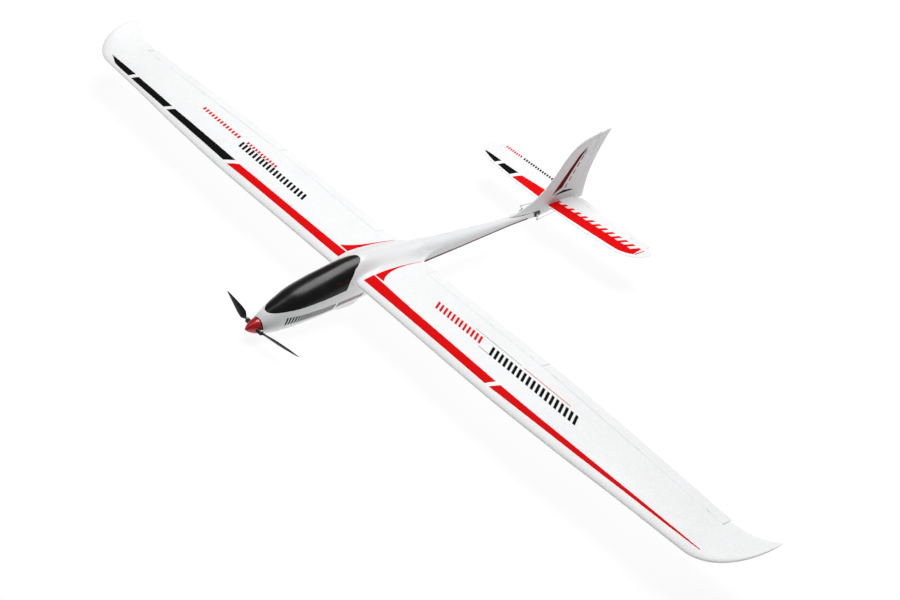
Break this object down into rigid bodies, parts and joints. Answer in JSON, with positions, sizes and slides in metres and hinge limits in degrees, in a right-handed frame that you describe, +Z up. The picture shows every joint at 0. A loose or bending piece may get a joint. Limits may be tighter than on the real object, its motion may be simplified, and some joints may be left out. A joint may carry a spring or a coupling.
{
  "type": "electric rc glider",
  "caption": "Long-winged electric model glider with pod-and-boom fuselage, folding propeller, lift-off canopy, flaps, ailerons, elevator and rudder.",
  "frame": {"origin": "under the middle of the object's box, level with the bottom of the belly skid", "axes": "nose towards -Y, port wing towards +X, +Z up"},
  "size_m": [2.3998, 1.2343, 0.312],
  "materials": {
    "fuselage_plastic": "glossy white moulded plastic",
    "white_foam": "smooth moulded foam",
    "canopy_black": "glossy painted black",
    "red_gloss": "glossy red",
    "carbon_black": "satin moulded carbon-filled nylon",
    "steel": "bright steel",
    "motor_metal": "anodised grey",
    "copper": "enamelled copper and steel laminations",
    "servo_plastic": "black servo case",
    "white_nylon": "moulded nylon",
    "plywood": "thin plywood",
    "battery_wrap": "shrink wrap",
    "controller_wrap": "shrink wrap",
    "receiver_case": "satin",
    "wire_insulation": "silicone insulation"
  },
  "bodies": {
    "airframe": {"fuselage_shell": "fuselage_plastic", "belly_skid": "fuselage_plastic", "motor_firewall": "steel", "motor_stator": "copper", "motor_bearings": "steel", "m3_screws": "steel", "speed_controller": "controller_wrap", "battery_pack": "battery_wrap", "equipment_tray": "plywood", "receiver": "receiver_case", "wiring": "wire_insulation", "seat_magnets": "steel", "wing_joiner": "carbon_black", "wing_left": "white_foam", "wing_right": "white_foam", "servo_covers": "white_nylon", "flap_servo_left": "servo_plastic", "flap_servo_right": "servo_plastic", "aileron_servo_left": "servo_plastic", "aileron_servo_right": "servo_plastic", "elevator_servo": "servo_plastic", "rudder_servo": "servo_plastic", "surface_hinges": "white_nylon", "stabilizer_left": "white_foam", "stabilizer_right": "white_foam", "stabilizer_joiner": "carbon_black"},
    "propeller": {"spinner": "red_gloss", "propeller_hub": "carbon_black", "motor_bell": "motor_metal", "motor_shaft": "steel", "blade_pins": "steel"},
    "blade_left": {"blade_left": "carbon_black"},
    "blade_right": {"blade_right": "carbon_black"},
    "canopy": {"canopy": "canopy_black", "canopy_magnets": "steel"},
    "flap_left": {"flap_left": "white_foam", "flap_horn_left": "white_nylon"},
    "flap_right": {"flap_right": "white_foam", "flap_horn_right": "white_nylon"},
    "aileron_left": {"aileron_left": "white_foam", "aileron_horn_left": "white_nylon"},
    "aileron_right": {"aileron_right": "white_foam", "aileron_horn_right": "white_nylon"},
    "elevator": {"elevator_left": "white_foam", "elevator_right": "white_foam", "elevator_joiner": "steel"},
    "rudder": {"rudder": "white_foam", "rudder_horn": "white_nylon"},
    "flap_arm_left": {"flap_arm_left": "white_nylon"},
    "flap_arm_right": {"flap_arm_right": "white_nylon"},
    "aileron_arm_left": {"aileron_arm_left": "white_nylon"},
    "aileron_arm_right": {"aileron_arm_right": "white_nylon"},
    "elevator_arm": {"elevator_arm": "white_nylon"},
    "rudder_arm": {"rudder_arm": "white_nylon"},
    "flap_rod_left": {"flap_rod_left": "steel"},
    "flap_rod_right": {"flap_rod_right": "steel"},
    "aileron_rod_left": {"aileron_rod_left": "steel"},
    "aileron_rod_right": {"aileron_rod_right": "steel"},
    "elevator_rod": {"elevator_rod": "steel"},
    "rudder_rod": {"rudder_rod": "steel"}
  },
  "joints": [
    {"name": "propeller_spin", "type": "hinge", "parent": "airframe", "child": "propeller", "pos_m": [0, -0.5905, 0.035], "axis": [0, 1, 0], "continuous": true},
    {"name": "blade_fold_left", "type": "hinge", "parent": "propeller", "child": "blade_left", "pos_m": [0.027, -0.5905, 0.035], "axis": [0, 0, 1], "range_deg": [-12.5, 47.5]},
    {"name": "blade_fold_right", "type": "hinge", "parent": "propeller", "child": "blade_right", "pos_m": [-0.027, -0.5905, 0.035], "axis": [0, 0, -1], "range_deg": [-12.5, 47.5]},
    {"name": "canopy_lift", "type": "slide", "parent": "airframe", "child": "canopy", "axis": [0, 0, 1], "range_m": [0, 0.06]},
    {"name": "flap_hinge_left", "type": "hinge", "parent": "airframe", "child": "flap_left", "pos_m": [0.098, -0.1395, 0.11144], "axis": [-1, -0.0049, -0.0072], "range_deg": [0, 45]},
    {"name": "flap_servo_left", "type": "hinge", "parent": "airframe", "child": "flap_arm_left", "pos_m": [0.30043, -0.2255, 0.11177], "axis": [-1, -0.0049, -0.0072], "range_deg": [0, 45]},
    {"name": "flap_rod_pivot_left", "type": "hinge", "parent": "flap_arm_left", "child": "flap_rod_left", "pos_m": [0.30056, -0.2255, 0.09377], "axis": [-1, -0.0049, -0.0072], "range_deg": [-45, 0]},
    {"name": "flap_hinge_right", "type": "hinge", "parent": "airframe", "child": "flap_right", "pos_m": [-0.098, -0.1395, 0.11144], "axis": [-1, 0.0049, 0.0072], "range_deg": [0, 45]},
    {"name": "flap_servo_right", "type": "hinge", "parent": "airframe", "child": "flap_arm_right", "pos_m": [-0.30043, -0.2255, 0.11177], "axis": [-1, 0.0049, 0.0072], "range_deg": [0, 45]},
    {"name": "flap_rod_pivot_right", "type": "hinge", "parent": "flap_arm_right", "child": "flap_rod_right", "pos_m": [-0.30056, -0.2255, 0.09377], "axis": [-1, 0.0049, 0.0072], "range_deg": [-45, 0]},
    {"name": "aileron_hinge_left", "type": "hinge", "parent": "airframe", "child": "aileron_left", "pos_m": [0.504, -0.1375, 0.11437], "axis": [-0.9984, 0.0556, -0.0107], "range_deg": [-25, 25]},
    {"name": "aileron_servo_left", "type": "hinge", "parent": "airframe", "child": "aileron_arm_left", "pos_m": [0.78554, -0.22536, 0.11688], "axis": [-0.9984, 0.0556, -0.0107], "range_deg": [-25, 25]},
    {"name": "aileron_rod_pivot_left", "type": "hinge", "parent": "aileron_arm_left", "child": "aileron_rod_left", "pos_m": [0.78573, -0.22537, 0.09888], "axis": [-0.9984, 0.0556, -0.0107], "range_deg": [-25, 25]},
    {"name": "aileron_hinge_right", "type": "hinge", "parent": "airframe", "child": "aileron_right", "pos_m": [-0.504, -0.1375, 0.11437], "axis": [-0.9984, -0.0556, 0.0107], "range_deg": [-25, 25]},
    {"name": "aileron_servo_right", "type": "hinge", "parent": "airframe", "child": "aileron_arm_right", "pos_m": [-0.78554, -0.22536, 0.11688], "axis": [-0.9984, -0.0556, 0.0107], "range_deg": [-25, 25]},
    {"name": "aileron_rod_pivot_right", "type": "hinge", "parent": "aileron_arm_right", "child": "aileron_rod_right", "pos_m": [-0.78573, -0.22537, 0.09888], "axis": [-0.9984, -0.0556, 0.0107], "range_deg": [-25, 25]},
    {"name": "elevator_hinge", "type": "hinge", "parent": "airframe", "child": "elevator", "pos_m": [0, 0.5355, 0.105], "axis": [-1, 0, 0], "range_deg": [-25, 25]},
    {"name": "elevator_servo_shaft", "type": "hinge", "parent": "airframe", "child": "elevator_arm", "pos_m": [0.0173, 0.3725, 0.093], "axis": [-1, 0, 0], "range_deg": [-25, 25]},
    {"name": "elevator_rod_pivot", "type": "hinge", "parent": "elevator_arm", "child": "elevator_rod", "pos_m": [0.0173, 0.3725, 0.082], "axis": [-1, 0, 0], "range_deg": [-25, 25]},
    {"name": "rudder_hinge", "type": "hinge", "parent": "airframe", "child": "rudder", "pos_m": [0, 0.5445, 0.09], "axis": [0, 0.1139, 0.9935], "range_deg": [-25, 25]},
    {"name": "rudder_servo_shaft", "type": "hinge", "parent": "airframe", "child": "rudder_arm", "pos_m": [-0.007, 0.3335, 0.1086], "axis": [0, 0.1139, 0.9935], "range_deg": [-25, 25]},
    {"name": "rudder_rod_pivot", "type": "hinge", "parent": "rudder_arm", "child": "rudder_rod", "pos_m": [-0.018, 0.3335, 0.1086], "axis": [0, 0.1139, 0.9935], "range_deg": [-25, 25]}
  ],
  "couplings": [
    {"joint": "flap_servo_left", "follows": "flap_hinge_left", "ratio": 1},
    {"joint": "flap_rod_pivot_left", "follows": "flap_hinge_left", "ratio": -1},
    {"joint": "flap_hinge_right", "follows": "flap_hinge_left", "ratio": 1},
    {"joint": "flap_servo_right", "follows": "flap_hinge_left", "ratio": 1},
    {"joint": "flap_rod_pivot_right", "follows": "flap_hinge_left", "ratio": -1},
    {"joint": "aileron_servo_left", "follows": "aileron_hinge_left", "ratio": 1},
    {"joint": "aileron_rod_pivot_left", "follows": "aileron_hinge_left", "ratio": -1},
    {"joint": "aileron_hinge_right", "follows": "aileron_hinge_left", "ratio": -1},
    {"joint": "aileron_servo_right", "follows": "aileron_hinge_left", "ratio": -1},
    {"joint": "aileron_rod_pivot_right", "follows": "aileron_hinge_left", "ratio": 1},
    {"joint": "elevator_servo_shaft", "follows": "elevator_hinge", "ratio": 1},
    {"joint": "elevator_rod_pivot", "follows": "elevator_hinge", "ratio": -1},
    {"joint": "rudder_servo_shaft", "follows": "rudder_hinge", "ratio": 1},
    {"joint": "rudder_rod_pivot", "follows": "rudder_hinge", "ratio": -1}
  ]
}
